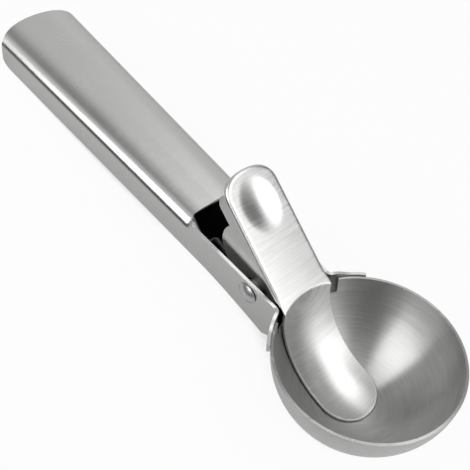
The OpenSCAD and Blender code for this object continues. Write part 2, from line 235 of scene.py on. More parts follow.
def rim_to_part(points, scene):
    """Tips points by the rest slope, then moves them so that the pivot meets its joint."""
    tip = math.atan2(REST_SLOPE[0], REST_SLOPE[2]) - scene.scoop_handle.pitch
    shift = np.array(JOINT["pos_m"]) - turned(pivot_in_rim(scene), tip)
    return turned(points, tip) + shift


def smooth_step(t):
    """Rises from 0 to 1 with level ends: 3 t squared less 2 t cubed."""
    t = np.clip(t, 0.0, 1.0)
    return t * t * (3.0 - 2.0 * t)


def mirrored(patch):
    """The grid on the other side of the middle, with its columns reversed to keep its face."""
    return patch[:, ::-1] * OTHER_SIDE


def grid_faces(rows, columns, closed):
    """Quads of a grid; each faces along its column direction crossed with its row direction."""
    row = np.arange(rows - 1)[:, None] * columns
    column = np.arange(columns if closed else columns - 1)[None, :]
    after = (column + 1) % columns
    quads = joined(row + column, row + after, row + columns + after, row + columns + column)
    return quads.reshape(-1, 4)


def given(made, **settings):
    """Sets the named settings of what was made, and returns it."""
    for key, value in settings.items():
        setattr(made, key, value)
    return made


def placed(scene, name, data):
    """A new object of the scene that holds data."""
    made = bpy.data.objects.new(name, data)
    scene.collection.objects.link(made)
    return made


def sheet_piece(scene, name, patches, closed=False, flow=None):
    """Joins grids of points in the rim's frame into one smooth mesh, merging shared points.
    flow gives a grid's UV map in metres: U runs across the brush lines and V along them."""
    points, faces, start = [], [], 0
    for patch in patches:
        points.append(rim_to_part(patch, scene).reshape(-1, 3))
        faces.append(grid_faces(patch.shape[0], patch.shape[1], closed) + start)
        start += len(points[-1])
    mesh = bpy.data.meshes.new(name)
    mesh.from_pydata(np.concatenate(points).tolist(), [], np.concatenate(faces).tolist())
    if flow:
        corner = np.zeros(len(mesh.loops), dtype=np.int32)
        mesh.loops.foreach_get("vertex_index", corner)
        flows = np.concatenate([flow(patch).reshape(-1, 2) for patch in patches])
        mesh.uv_layers.new(name="flow").data.foreach_set("uv", flows[corner].ravel())
    shape = bmesh.new()
    shape.from_mesh(mesh)
    bmesh.ops.remove_doubles(shape, verts=shape.verts, dist=2e-6)
    shape.to_mesh(mesh)
    shape.free()
    mesh.shade_smooth()
    return placed(scene, name, mesh)


def thicken(piece, thickness, cut_edge):
    """Gives a sheet its thickness on the side away from its face. The inner side takes the
    piece's second material, and the cut edge the one numbered cut_edge."""
    given(piece.modifiers.new("Sheet", "SOLIDIFY"), thickness=thickness, offset=-1.0,
          use_even_offset=True, use_quality_normals=True, material_offset=1,
          material_offset_rim=cut_edge)


def ease_edges(piece, width):
    """Rounds the cut edges, whose faces meet at more than 40 degrees."""
    given(piece.modifiers.new("Edges", "BEVEL"), width=width, segments=3, limit_method="ANGLE",
          angle_limit=math.radians(40.0), harden_normals=True)


def dress(piece, *materials):
    """Gives a piece its materials in place of any that it has."""
    piece.data.materials.clear()
    for material in materials:
        piece.data.materials.append(material)


def finish_piece(piece, body, slot, *materials):
    """Gives a piece its materials and its body; the record's slot is not used."""
    dress(piece, *materials)
    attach(piece, body)


def coons(top, bottom, left, right):
    """A patch inside four edges: the two ruled surfaces added, less the one of the corners."""
    a = np.linspace(0.0, 1.0, len(top))[None, :, None]
    b = np.linspace(0.0, 1.0, len(left))[:, None, None]
    ruled = (1 - b) * top[None] + b * bottom[None] + (1 - a) * left[:, None] + a * right[:, None]
    corners = ((1 - a) * (1 - b) * top[0] + a * (1 - b) * top[-1]
               + (1 - a) * b * bottom[0] + a * b * bottom[-1])
    return ruled - corners


def evenly(points, count):
    """Points at even steps along a broken line."""
    run = np.concatenate([[0.0], np.cumsum(np.linalg.norm(np.diff(points, axis=0), axis=1))])
    at = np.linspace(0.0, run[-1], count)
    return joined(*(np.interp(at, run, column) for column in points.T))


def arc(centre, radius, start, end, count):
    """Points of an arc in a plane, from one angle in degrees to another."""
    a = np.radians(np.linspace(start, end, count))
    return np.array(centre) + radius * joined(np.cos(a), np.sin(a))


# --- handle ---


def half_width(u, handle, bowl):
    """Half the handle's width at a distance u behind the bowl's centre, a straight taper."""
    taper = (handle.rear_half - handle.front_half) / (handle.reach - bowl.radius)
    return handle.front_half + (u - bowl.radius) * taper


def corner_reach(handle):
    """Distance of the lower rear corners' centre behind the bowl's centre."""
    return (handle.reach - handle.rear_arc + math.sqrt(handle.rear_arc**2 - handle.rear_half**2)
            - handle.rear_corner + handle.sheet)


def wall_depth(u, handle, bowl):
    """Depth of the walls: straight at the rear, a curve of power 1.5 down to their lowest point,
    and a straight cut from there up to the bowl."""
    start = handle.slot_reach - handle.deepening
    lowest = bowl.radius + handle.lowest
    rear = handle.middle_depth + (handle.rear_depth - handle.middle_depth) * (
        (u - start) / (corner_reach(handle) - start))
    front = handle.middle_depth + (handle.front_depth - handle.middle_depth) * np.clip(
        (start - u) / (start - lowest), 0.0, 1.0) ** 1.5
    cut = handle.front_depth - (lowest - u) * math.tan(handle.front_slope)
    front = np.where(u < lowest, cut, front)
    return np.where(u > start, np.maximum(rear, handle.rear_depth), front)


def shoulder_run(rise, bend, handle):
    """How far in and how far up a length of sheet reaches from the tangent of wall and shoulder.
    Its slope turns from upright to level by bend times a right angle. What is left of the turn is
    the fourth power of the run that is left, so the bend is tight at the wall and fades into a
    faint crown. The run is the integral over that slope."""
    whole = handle.crown_run
    at, weight = np.polynomial.legendre.leggauss(24)
    rise, last = np.broadcast_arrays(rise, bend * math.pi / 2)
    curved = np.minimum(rise, whole)
    left = 1 - curved[..., None] * (at + 1) / 2 / whole
    turn = last[..., None] * (1 - left**4)
    return (curved * (np.sin(turn) @ weight) / 2 + (rise - curved) * np.sin(last),
            curved * (np.cos(turn) @ weight) / 2 + (rise - curved) * np.cos(last))


def bent_sheet(u, rise, fall, bend, handle, bowl):
    """Outer face of one side at a distance u. rise is the sheet's length above the tangent of
    wall and shoulder, bend the share of the shoulder's turn, and fall the share of the wall's
    depth below that tangent."""
    inward, upward = shoulder_run(rise, bend, handle)
    y = half_width(u, handle, bowl) - inward
    z = upward - handle.shoulder - fall * (wall_depth(u, handle, bowl) - handle.shoulder)
    return joined(-u, y, z)


def channel_rows(handle):
    """Rows of one side, as columns: the sheet's length above the tangent of wall and shoulder,
    as a share of its length to the slot's corner, that length, and shares of the wall's depth."""
    rise = np.linspace(0.0, handle.crown_run, 400)
    highest = np.interp(handle.slot_corner, shoulder_run(rise, 1.0, handle)[0], rise)
    return np.linspace(1.0, 0.0, 15)[:, None], highest, np.linspace(0.0, 1.0, 14)[:, None]


def channel_side(handle, bowl):
    """One side of the channel as grids from the web's middle down to the wall's lower edge:
    behind the slot, round the slot's corner, beside the slot and down to the bowl."""
    share, highest, fall = channel_rows(handle)
    arc_centre = handle.reach - handle.rear_arc

    # The web and the shoulder run from the slot's rear edge to the arc across the rear end,
    # with closer columns over the last eighth, beside the lower rear corner
    coarse, fine, last_part = 30, 22, 0.88
    along = np.concatenate([np.linspace(0.0, last_part, coarse),
                            np.linspace(last_part, 1.0, fine)[1:]])[None]
    web = np.linspace(0.0, 1.0, 20)[:, None]
    spent = handle.crown_run - float(shoulder_run(handle.crown_run, 1.0, handle)[0])

    def top_sheet(u):
        middle = half_width(u[:len(web)], handle, bowl) + spent
        outer = np.broadcast_to(share[1:] * highest, u[len(web):].shape)
        rise = np.concatenate([middle + web * (highest - middle), outer])
        return bent_sheet(u, rise, 0.0, 1.0, handle, bowl)

    # The arc bounds u by y, and y depends on u: six rounds settle it
    end = np.full((len(web) + len(share) - 1, 1), handle.reach)
    for _ in range(6):
        end = arc_centre + np.sqrt(handle.rear_arc**2 - top_sheet(end)[..., 1] ** 2)
    top = top_sheet(handle.slot_reach + along * (end - handle.slot_reach))

    # The wall behind the slot, whose last stretch turns round the lower rear corner
    end = float(end[-1, 0])
    split = handle.slot_reach + last_part * (end - handle.slot_reach)
    u = np.linspace(handle.slot_reach, split, coarse)[None]
    wall = bent_sheet(u, 0.0, fall, 1.0, handle, bowl)
    corner = [corner_reach(handle), handle.rear_corner - handle.rear_depth]
    meet = -math.degrees(math.acos((end - corner[0]) / handle.rear_corner))
    halfway = (meet - 90.0) / 2
    below = np.concatenate([[[split, wall[-1, -1, 2]]],
                            arc(corner, handle.rear_corner, -90.0, halfway, 9)])
    behind = np.concatenate([[[end, -handle.shoulder]],
                             arc(corner, handle.rear_corner, meet, halfway, 9)])
    above = joined(np.linspace(split, end, fine), -handle.shoulder)
    before = joined(split, wall[:, -1, 2])
    patch = coons(above, evenly(below, fine), before, evenly(behind, len(fall)))
    u, z = np.moveaxis(patch, -1, 0)
    rear_wall = joined(-u, half_width(u, handle, bowl), z)

    # The slot's corner: its edge is a quarter ellipse, and the shoulder's bend fades out over
    # all but 0.4 mm of it
    open_rise = handle.shoulder - handle.edge_drop
    front = handle.slot_reach - handle.slot_corner
    whole_bend = handle.slot_corner - 0.0004
    t = np.linspace(0.0, 1.0, 15)[None]
    u = front + handle.slot_corner * (share * np.cos(t * math.pi / 2) + (1 - share) * (1 - t))
    bend = smooth_step((u - front) / whole_bend)
    rise = share * (highest - (highest - open_rise) * np.sin(t * math.pi / 2))
    turn = bent_sheet(u, rise, 0.0, bend, handle, bowl)
    under_turn = bent_sheet(front + handle.slot_corner * (1 - t), 0.0, fall, 1.0, handle, bowl)

    # The wall beside the slot, down to its lowest point
    u = np.linspace(front, bowl.radius + handle.lowest, 26)[None]
    beside = bent_sheet(u, share * open_rise, 0.0, 0.0, handle, bowl)
    under = bent_sheet(u, 0.0, fall, 0.0, handle, bowl)
    behind_slot = [grid[:, ::-1] for grid in (top, wall, rear_wall)]
    return [*behind_slot, turn, under_turn, beside, under]


def wing(handle, bowl):
    """One side from the wall's lowest point on: the wall runs to a round bend, and from there
    the sheet lies on a ball a little larger than the bowl, out to the wing's tip."""
    share, _, fall = channel_rows(handle)
    rise = np.concatenate([share * (handle.shoulder - handle.edge_drop), 0.0 * fall[1:]])
    fall = np.concatenate([0.0 * share, fall[1:]])
    ball = bowl.radius + handle.sheet + handle.wing_gap
    bend = handle.wing_bend

    def at(u):
        return handle_to_rim(bent_sheet(u, rise, fall, 0.0, handle, bowl), handle)

    def bend_centre(points):
        level = np.sqrt(ball**2 - points[..., 2] ** 2)
        y = points[..., 1] + bend
        return -np.sqrt((level + bend) ** 2 - y**2), y

    # The wall ends where the bend touches it; thirty rounds settle that
    end = np.full_like(rise, bowl.radius)
    for _ in range(30):
        points = at(end)
        end = end + (points[..., 0] - bend_centre(points)[0]) / math.cos(handle.pitch)
    start = bowl.radius + handle.lowest
    wall = at(start + np.linspace(0.0, 1.0, 9)[None] * (end - start))
    edge = wall[:, -1:]

    # The bend turns from the wall to the direction of the ball's centre
    x, y = bend_centre(edge)
    t = np.linspace(0.0, 1.0, 9)[None]
    a = -np.pi / 2 + t * (np.arctan2(-y, -x) + np.pi / 2)
    fillet = joined(x + bend * np.cos(a), y + bend * np.sin(a), edge[..., 2])

    # Heights run from the wall's edges at the bend to the wing's own at its tip, and the upper
    # edge is up at five eighths of the way
    top, low = edge[0, 0, 2], edge[-1, 0, 2]
    depth = (top - edge[..., 2]) / (top - low)
    touch = fillet[:, -1, 1][:, None]
    s = np.linspace(0.0, 1.0, 18)[None]
    upper = top + (handle.wing_rise - top) * smooth_step(s * 8 / 5)
    lower = low + (-handle.wing_tip_depth - low) * s
    even = np.linspace(0.0, 1.0, len(rise))[:, None]
    z = upper + (depth + s * (even - depth)) * (lower - upper)
    y = touch + s * (handle.wing_span - touch)
    flange = joined(-np.sqrt(ball**2 - y**2 - z**2), y, z)
    return [wall, fillet, flange]


def spring_lug(handle, bowl):
    """A pressed lug inside the wall: a box with rounded faces, a superellipsoid of power 6."""
    half_long, half_deep, half_high, sunk = 0.002, 0.001, 0.0007, 0.0002
    wall = half_width(handle.lug_reach, handle, bowl) - handle.sheet
    middle = np.array([-handle.lug_reach, wall + sunk - half_deep, -handle.lug_depth - half_high])
    a = np.linspace(-math.pi / 2, math.pi / 2, 21)[:, None]
    b = np.linspace(-math.pi, math.pi, 41)[None]

    def rounded(v):
        return np.sign(v) * np.abs(v) ** (2 / 6)

    points = joined(rounded(np.cos(a)) * rounded(np.cos(b)),
                    rounded(np.cos(a)) * rounded(np.sin(b)), rounded(np.sin(a)))
    return handle_to_rim(middle + np.array([half_long, half_deep, half_high]) * points, handle)


def handle_flow(points):
    """U along the handle, V across its top and down its walls."""
    x, y, z = np.moveaxis(points, -1, 0)
    return joined(x, np.abs(y) - z)


# --- bowl ---


def bowl_shell(bowl):
    """Outer face of a half ball. Columns run up from its lowest point to the rim, or to the
    notch's edge, which is level in the middle and rounded up into the notch's two sides."""
    r, half, corner = bowl.radius, bowl.notch_half, bowl.notch_corner
    shelf = corner - bowl.notch_depth
    lower = np.linspace(0.0, 1.0, 34)[:, None]

    def ball(heading, down):
        flat = r * np.sin(down)
        return joined(flat * np.cos(heading), flat * np.sin(heading), -r * np.cos(down))

    def side(z):
        return np.arcsin(half / np.sqrt(r * r - np.minimum(z, 0.0) ** 2))

    def round_from(first):
        """Headings from one side of the notch, round the bowl, to its other side."""
        return math.pi + first + np.linspace(0.0, 1.0, 133)[None] * 2 * (math.pi - first)

    # The sector beside the notch, first up to the rounded corner, then on to the rim
    reach = math.acos(-shelf / r)
    under = ball(round_from(side(shelf)), lower * reach)
    down = np.linspace(reach, math.pi / 2, 12)[:, None]
    upper = ball(round_from(side(-r * np.cos(down))), down)

    # The sector under the notch
    quarter = np.radians(np.linspace(90.0, 0.0, 7))
    y = half - corner + corner * np.cos(quarter)
    z = shelf - corner * np.sin(quarter)
    y = np.concatenate([-y[::-1], np.linspace(corner - half, half - corner, 17)[1:-1], y])
    z = np.concatenate([z[::-1], np.full(15, shelf - corner), z])
    top = np.arccos(-z / r)[None]
    notch = ball(math.pi - np.arcsin(y / (r * np.sin(top))), lower * top)
    return [under, upper, notch[:, ::-1]]


def bowl_flow(points):
    """U from the lowest point up to the rim, V round the bowl's axis."""
    x, y, z = np.moveaxis(points, -1, 0)
    flat = np.hypot(x, y)
    radius = np.hypot(flat, z)
    return joined(radius * np.arctan2(flat, -z), radius * np.unwrap(np.arctan2(y, x)))


# --- thumb lever ---


def lever_shell(lever):
    """Closed shell of the thumb lever. Stations run once round its outline. At each, rings go
    from the middle line out over the top face, round the edge and back along the underside.
    At a constant y the top face is the pad's straight line, an arc at the crease and the circle
    in which the tongue's ball is cut."""
    ball, bend, sheet = lever.tongue_radius, lever.crease_radius, lever.sheet
    c, s = math.cos(lever.pad_angle), math.sin(lever.pad_angle)
    normal, rearward = np.array([s, c]), np.array([-c, s])
    crease = np.array([-math.sqrt(ball**2 - lever.crease_rise**2), lever.crease_rise])
    lift = crease @ normal - bend
    straight = lever.pad_length - lever.pad_end
    tip_x = lever.tongue_reach - lever.half

    def section(zone, t, y):
        """Place and outward normal in X and Z of the top face in a zone, at t of its run."""
        cut = np.sqrt(ball**2 - y**2)
        # The centre of the crease's arc lies below the pad and outside the ball
        run = np.sqrt((cut + bend) ** 2 - lift**2)
        middle = lift * normal + run[..., None] * rearward
        toward = -middle / np.linalg.norm(middle, axis=-1, keepdims=True)
        if zone == "pad":
            end = (middle - crease) @ rearward
            at = end + (1 - t) * (straight - end)
            return crease + at[..., None] * rearward, np.broadcast_to(normal, (*at.shape, 2))
        if zone == "crease":
            first = math.atan2(c, s)
            a = first + t * (np.arctan2(toward[..., 1], toward[..., 0]) - first)
            n = joined(np.cos(a), np.sin(a))
            return middle + bend * n, n
        meet = middle + bend * toward
        first = np.arctan2(meet[..., 1], -meet[..., 0])
        a = first + t * (-np.arccos(-tip_x / cut) - first)
        n = joined(np.cos(a), -np.sin(a))
        return -cut[..., None] * n, n

    def top(out):
        """Top face and its normals at shares out of the half width, at every station. The pad's
        end is a superellipse of power 2.4, the tongue's tip a half circle seen from above."""
        out, power = out[:, None], 2 / 2.4
        a = np.linspace(0.0, np.pi / 2, 25)
        x = straight + out * lever.pad_end * np.cos(a) ** power
        y = out * lever.pad_rear_half * np.sin(a) ** power
        places = [pad_to_rim(joined(x, y, 0.0), lever)]
        normals = [np.broadcast_to([s, 0.0, c], places[0].shape)]
        for zone, count in (("pad", 45), ("crease", 9), ("tongue", 45)):
            t = np.linspace(0.0, 1.0, count)[1:]
            widening = t if zone == "pad" else np.ones_like(t)
            y = out * (lever.pad_rear_half + widening * (lever.half - lever.pad_rear_half))
            place, n = section(zone, np.broadcast_to(t, y.shape), y)
            lean = y / ball if zone == "tongue" else np.zeros_like(y)
            level = np.sqrt(1 - lean**2)
            places.append(joined(place[..., 0], y, place[..., 1]))
            normals.append(joined(n[..., 0] * level, -lean, n[..., 1] * level))
        a = np.linspace(np.pi / 2, 0.0, 25)[1:]
        x = tip_x + out * lever.half * np.cos(a)
        y = out * lever.half * np.sin(a)
        places.append(joined(x, y, -np.sqrt(ball**2 - x**2 - y**2)))
        normals.append(-places[-1] / ball)
        halves = np.concatenate(places, axis=1), np.concatenate(normals, axis=1)
        return [np.concatenate([v, v[:, -2:0:-1] * OTHER_SIDE], axis=1) for v in halves]

    edge, edge_normal = (v[0] for v in top(np.array([1.0])))
    along = np.roll(edge, -1, axis=0) - np.roll(edge, 1, axis=0)
    out = np.cross(edge_normal, along)
    out /= np.linalg.norm(out, axis=-1, keepdims=True)
    out *= np.sign(np.sum(out * (edge - edge.mean(axis=0)), axis=-1, keepdims=True))

    # Edge profiles of 21 points as [inwards, downwards]: a turned-down lip on the pad, which
    # grows over 5 mm from 1.5 mm before the crease, and a plain cut edge on the tongue
    ahead, growth = 0.0015, 0.005
    behind = (edge[:, [0, 2]] - crease) @ rearward
    lipped = smooth_step((behind + ahead) / growth)[None, :, None]
    r, lip, cut = lever.lip_radius, lever.lip, 0.00015
    turned_down = np.concatenate([
        arc([r, r], r, 270.0, 180.0, 8), arc([cut, lip - cut], cut, 180.0, 90.0, 4),
        arc([sheet - cut, lip - cut], cut, 90.0, 0.0, 4),
        arc([r, r], r - sheet, 180.0, 270.0, 5)])
    upright = np.concatenate([np.linspace(0.3, 0.5, 4), np.linspace(0.55, 0.7, 4)]) * sheet
    cut_edge = np.concatenate([
        arc([cut, cut], cut, 270.0, 180.0, 8), joined(0.0, upright),
        arc([cut, sheet - cut], cut, 180.0, 90.0, 5)])
    profile = lipped * turned_down[:, None] + (1 - lipped) * cut_edge[:, None]
    rim = edge[None] - profile[..., :1] * out - profile[..., 1:] * edge_normal

    # The faces between the middle line and the edge profile, read off a finer pair of grids
    steps = 17
    shares = np.linspace(0.0, 1.0, steps + 1)
    grids = top(shares)
    reach = np.linalg.norm(edge - grids[0][0], axis=-1)
    inset = 1 - profile[0, :, 0] / np.maximum(reach, 1e-6)
    index = shares[:-1, None] * inset * steps
    low = np.clip(np.floor(index).astype(int), 0, steps - 1)
    part = (index - low)[..., None]
    station = np.arange(len(edge))[None]
    upper, facing = (v[low, station] * (1 - part) + v[low + 1, station] * part for v in grids)
    facing /= np.linalg.norm(facing, axis=-1, keepdims=True)
    under = upper - sheet * facing

    # The thumb dish pressed into the pad: its depth is the square of an ellipse's paraboloid
    place = upper[..., [0, 2]] - crease
    x = (place @ rearward - lever.dish_reach) / lever.dish_long
    y = upper[..., 1] / lever.dish_wide
    on_pad = np.abs(place @ normal) < 1e-5
    depth = lever.dish_depth * np.clip(1 - x * x - y * y, 0.0, 1.0) ** 2 * on_pad
    upper = upper - depth[..., None] * np.array([s, 0.0, c])
    return np.concatenate([upper, rim, under[::-1]])


def lever_flow(points):
    """U along the lever, V across it."""
    return joined(points[..., 0], np.abs(points[..., 1]))


# --- spring and rivet ---


def spring_path(scene):
    """Middle line of the wire: a cross leg, a straight run onto a coil round the sleeve, a
    straight run to the bridge under the pad, and the same on the other side, with its corners
    rounded by a moving average, a bell curve 0.4 mm wide."""
    spring, handle, lever = scene.scoop_spring, scene.scoop_handle, scene.scoop_lever
    pivot = pivot_in_rim(scene)[[0, 2]]
    leg = handle_to_rim(np.array([-spring.leg_reach, 0.0, -spring.leg_depth]), handle)[[0, 2]]
    bridge = pad_to_rim(np.array([spring.bridge_reach, 0.0, -spring.bridge_depth]), lever)[[0, 2]]

    def touch(point, side):
        """Angle at which a line from a point touches the coil, on one side or the other."""
        v = point - pivot
        return math.atan2(v[1], v[0]) + side * math.acos(spring.coil / np.linalg.norm(v))

    enter, leave = touch(leg, 1), touch(bridge, -1)
    whole = math.tau * spring.turns + (leave - enter) % math.tau
    a = np.linspace(0.0, whole, 200)
    width = spring.pitch * whole / math.tau
    coil = joined(pivot[0] + spring.coil * np.cos(enter + a), spring.coil_end - width * a / whole,
                  pivot[1] + spring.coil * np.sin(enter + a))
    bend = spring.wire / 2
    near = np.array([[leg[0], spring.leg_end, leg[1]],
                     [leg[0], spring.coil_end + bend, leg[1]],
                     [leg[0] + bend, spring.coil_end, leg[1]]])
    half = np.concatenate([near, coil, [[bridge[0], spring.coil_end - width, bridge[1]]]])
    path = np.concatenate([half, half[::-1] * OTHER_SIDE])
    run = np.linalg.norm(np.diff(path, axis=0), axis=1).sum()
    step, spread, reach = 0.00016, 0.0004, 6
    path = evenly(path, int(run / step))
    weight = np.exp(-0.5 * (np.arange(-reach, reach + 1) * step / spread) ** 2)
    weight /= weight.sum()
    ends = np.pad(path, ((reach, reach), (0, 0)), mode="edge")
    return joined(*(np.convolve(column, weight, "valid") for column in ends.T))


def tube(path, radius, sides):
    """A round tube along a path with domed ends. Each ring's frame is turned back by the twist
    gathered so far, so that the rings don't wind up."""
    forward = np.gradient(path, axis=0)
    forward /= np.linalg.norm(forward, axis=1, keepdims=True)
    least = np.eye(3)[np.argmin(np.abs(forward), axis=1)]
    u = np.cross(forward, least)
    u /= np.linalg.norm(u, axis=1, keepdims=True)
    v = np.cross(forward, u)
    twist = np.arctan2(np.sum(u[:-1] * v[1:], axis=1), np.sum(u[:-1] * u[1:], axis=1))
    gathered = np.concatenate([[0.0], np.cumsum(twist)])[:, None]
    side = np.cos(gathered) * u + np.sin(gathered) * v
    up = np.cross(forward, side)
    dome = np.radians(np.array([90.0, 60.0, 30.0]))[:, None]
    middle = np.concatenate([path[:1] - radius * np.sin(dome) * forward[:1], path,
                             path[-1:] + radius * np.sin(dome[::-1]) * forward[-1:]])
    size = np.concatenate([np.cos(dome), np.ones((len(path), 1)), np.cos(dome[::-1])]) * radius
    side, up = (np.pad(v, ((len(dome), len(dome)), (0, 0)), mode="edge") for v in (side, up))
    a = np.linspace(0.0, math.tau, sides, endpoint=False)[None, :, None]
    ring = np.cos(a) * side[:, None] + np.sin(a) * up[:, None]
    return middle[:, None] + size[:, None] * ring


def rivet_shell(scene):
    """The rivet turned about Y: a domed head with an eased foot, the shank, and a second head."""
    pivot, handle, bowl = scene.scoop_pivot, scene.scoop_handle, scene.scoop_bowl
    foot = float(half_width(pivot.reach + pivot.head, handle, bowl))
    ease, tuck = 0.0002, 0.00008
    dome = (pivot.head**2 + pivot.head_height**2) / (2 * pivot.head_height)
    a = np.linspace(0.0, math.asin((pivot.head - tuck) / dome), 18)
    head = joined(dome * np.sin(a), foot + pivot.head_height - dome * (1 - np.cos(a)))
    under = arc([pivot.head - ease, foot + ease], ease, 0.0, -90.0, 5)
    shank = np.array([[pivot.shank, foot], [pivot.shank, 0.5 * foot]])
    half = np.concatenate([head, under, shank])
    line = np.concatenate([half, [[pivot.shank, 0.0]], half[::-1] * np.array([1.0, -1.0])])
    a = np.linspace(0.0, math.tau, 65)[:, None]
    r, y = line[None, :, 0], line[None, :, 1]
    return joined(r * np.cos(a), y, r * np.sin(a)) + pivot_in_rim(scene)


# --- finishes ---


def linear(hex_colour):
    """A colour written as sRGB hex, as the linear values that shaders take."""
    value = np.array([int(hex_colour[i:i + 2], 16) for i in (1, 3, 5)]) / 255
    value = np.where(value <= 0.04045, value / 12.92, ((value + 0.055) / 1.055) ** 2.4)
    return (*value.tolist(), 1.0)


def bare_tree(owner):
    """The emptied node tree of a material or a world."""
    owner.use_nodes = True
    owner.node_tree.nodes.clear()
    return owner.node_tree


def node(tree, kind, inputs=None, **settings):
    """Adds a shader node with its settings. An input that is a socket is linked, one that is a
    node is linked from its first live output, and any other is set."""
    made = given(tree.nodes.new("ShaderNode" + kind), **settings)
    for key, value in (inputs or {}).items():
        if isinstance(value, bpy.types.Node):
            value = next(output for output in value.outputs if output.enabled)
        if isinstance(value, bpy.types.NodeSocket):
            tree.links.new(value, made.inputs[key])
        else:
            made.inputs[key].default_value = value
    return made


def steel(name, colour, roughness, grain, spread, depth, contrast=0.03, brushed=0.0,
          straight=False):
    """Stainless steel. grain is the size in metres of one line of its finish, across itself and
    along itself, spread how far the lines move the roughness, depth the height of their relief
    and contrast the share of light that they take. The lines of a brushed finish follow the UV
    map, brushed is how far they draw reflections out, and straight ones all lie along Y."""
    material = bpy.data.materials.new(name)
    tree = bare_tree(material)
    place = node(tree, "TexCoord").outputs["Object"]
    lie = node(tree, "UVMap", uv_map="flow") if brushed else place
    across, along = 1 / grain[0], 1 / grain[1]
    lines = node(tree, "Mapping", {"Vector": lie, "Scale": (across, along, across)})
    brush = node(tree, "TexNoise", {
        "Vector": lines, "Scale": 1.0, "Detail": 2.0, "Roughness": 0.6})
    # Faint unevenness of about a centimetre, as rolling and handling leave it
    cloud = node(tree, "TexNoise", {"Vector": place, "Scale": 90.0, "Detail": 3.0})
    rough = node(tree, "MapRange", {
        "Value": brush, "From Min": 0.3, "From Max": 0.7,
        "To Min": roughness - spread, "To Max": roughness + spread})
    rough = node(tree, "Math", {0: cloud, 1: 0.05, 2: rough}, operation="MULTIPLY_ADD")
    tint = node(tree, "MapRange", {
        "Value": brush, "From Min": 0.4, "From Max": 0.6, "To Min": 1.0 - contrast, "To Max": 1.0})
    base = node(tree, "VectorMath", {0: linear(colour)[:3], "Scale": tint}, operation="SCALE")
    relief = node(tree, "Bump", {"Strength": 1.0, "Distance": depth, "Height": brush})
    look = {"Base Color": base, "Metallic": 1.0, "Roughness": rough, "Normal": relief}
    if brushed:
        look["Anisotropic"] = brushed
        look["Tangent"] = node(tree, "Tangent", direction_type="UV_MAP", uv_map="flow")
    if straight:
        facing = node(tree, "NewGeometry").outputs["Normal"]
        look["Tangent"] = node(tree, "VectorMath", {0: facing, 1: (0.0, 1.0, 0.0)},
                               operation="CROSS_PRODUCT")
    shader = node(tree, "BsdfPrincipled", look)
    node(tree, "OutputMaterial", {"Surface": shader})
    return material


# --- operators ---


class SCOOP_OT_handle(bpy.types.Operator):
    """Channel handle of bent sheet with its slot and wings, and the two lugs for the spring"""

    bl_idname = "scoop.handle"
    bl_label = "Handle"

    def execute(self, context):
        scene = context.scene
        handle, bowl, finish = scene.scoop_handle, scene.scoop_bowl, scene.scoop_finishes
        side = [handle_to_rim(p, handle) for p in channel_side(handle, bowl)] + wing(handle, bowl)
        shell = sheet_piece(scene, "handle_shell", side + [mirrored(p) for p in side],
                            flow=handle_flow)
        thicken(shell, handle.sheet, cut_edge=0)
        ease_edges(shell, width=0.00011)
        lug = spring_lug(handle, bowl)
        lugs = sheet_piece(scene, "spring_lugs", [lug, mirrored(lug)], flow=handle_flow)
        # Satin sheet brushed across: sharp reflections along the shoulders, soft along the handle
        satin = steel("satin_steel_handle", finish.steel, finish.satin, grain=(0.0003, 0.012),
                      spread=0.006, depth=5e-8, contrast=0.02, brushed=0.7)
        # The inner face is left as it was rolled, duller than the outer one
        rolled = steel("rolled_steel_channel", finish.lining, 0.4, grain=(0.002, 0.002),
                       spread=0.03, depth=5e-7)
        finish_piece(shell, "handle_body", "handle_steel", satin, rolled)
        finish_piece(lugs, "handle_body", "handle_steel", satin)
        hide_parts("handle")
        return {"FINISHED"}


class SCOOP_OT_bowl(bpy.types.Operator):
    """Half-round bowl of spun sheet with the notch for the lever"""

    bl_idname = "scoop.bowl"
    bl_label = "Bowl"

    def execute(self, context):
        scene = context.scene
        bowl, finish = scene.scoop_bowl, scene.scoop_finishes
        shell = sheet_piece(scene, "bowl_shell", bowl_shell(bowl), flow=bowl_flow)
        thicken(shell, bowl.sheet, cut_edge=1)
        ease_edges(shell, width=0.00018)
        # Spun sheet, finished on the lathe: its fine rings draw highlights out into wedges
        inside = steel("spun_steel_bowl", finish.bowl, finish.spun, grain=(0.0006, 0.02),
                       spread=0.04, depth=2e-6, contrast=0.12, brushed=0.95)
        # Its outside is buffed brighter
        outside = steel("buffed_steel_bowl", finish.steel, finish.satin, grain=(0.0006, 0.02),
                        spread=0.02, depth=1.5e-6, brushed=0.6)
        finish_piece(shell, "handle_body", "bowl_steel", outside, inside)
        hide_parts("bowl")
        return {"FINISHED"}


class SCOOP_OT_lever(bpy.types.Operator):
    """Thumb lever stamped from one sheet: a pad with a turned-down edge, a crease, a tongue"""

    bl_idname = "scoop.lever"
    bl_label = "Thumb lever"

    def execute(self, context):
        scene = context.scene
        lever, finish = scene.scoop_lever, scene.scoop_finishes
        stamping = sheet_piece(scene, "lever_stamping", [lever_shell(lever)], closed=True,
                               flow=lever_flow)
        # Brushed across its width: lines 0.3 mm apart, drawn coarser than the real ones
        brushed = steel("brushed_steel_lever", finish.lever, finish.brushed, spread=0.05,
                        grain=(0.0003, 0.012), depth=3e-6, contrast=0.12, brushed=0.8,
                        straight=True)
        finish_piece(stamping, "lever_body", "lever_steel", brushed)
        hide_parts("lever")
        return {"FINISHED"}


